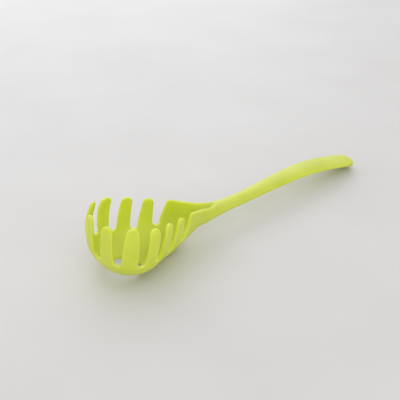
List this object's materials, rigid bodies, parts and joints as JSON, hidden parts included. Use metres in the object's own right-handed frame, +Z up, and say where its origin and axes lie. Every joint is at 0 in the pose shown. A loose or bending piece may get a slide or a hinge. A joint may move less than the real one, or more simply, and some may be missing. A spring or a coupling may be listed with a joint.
{
  "type": "pasta server",
  "caption": "One-piece plastic pasta server: open bowl with a ring of round-ended tines, a portion hole in its floor and a slim arched handle.",
  "frame": {"origin": "the middle of the small flat under the bowl, on the surface that the server lies on", "axes": "+X from the bowl towards the end of the handle, +Z up off the surface, Y across; the plane Y = 0 is the mirror plane"},
  "size_m": [0.2947, 0.0676, 0.0523],
  "materials": {
    "lime_plastic": "satin moulded plastic"
  },
  "bodies": {
    "root": {"bowl": "lime_plastic", "throat": "lime_plastic", "handle": "lime_plastic", "tine_left_1": "lime_plastic", "tine_left_2": "lime_plastic", "tine_left_3": "lime_plastic", "tine_left_4": "lime_plastic", "tine_left_5": "lime_plastic", "tine_right_1": "lime_plastic", "tine_right_2": "lime_plastic", "tine_right_3": "lime_plastic", "tine_right_4": "lime_plastic", "tine_right_5": "lime_plastic"}
  },
  "joints": []
}
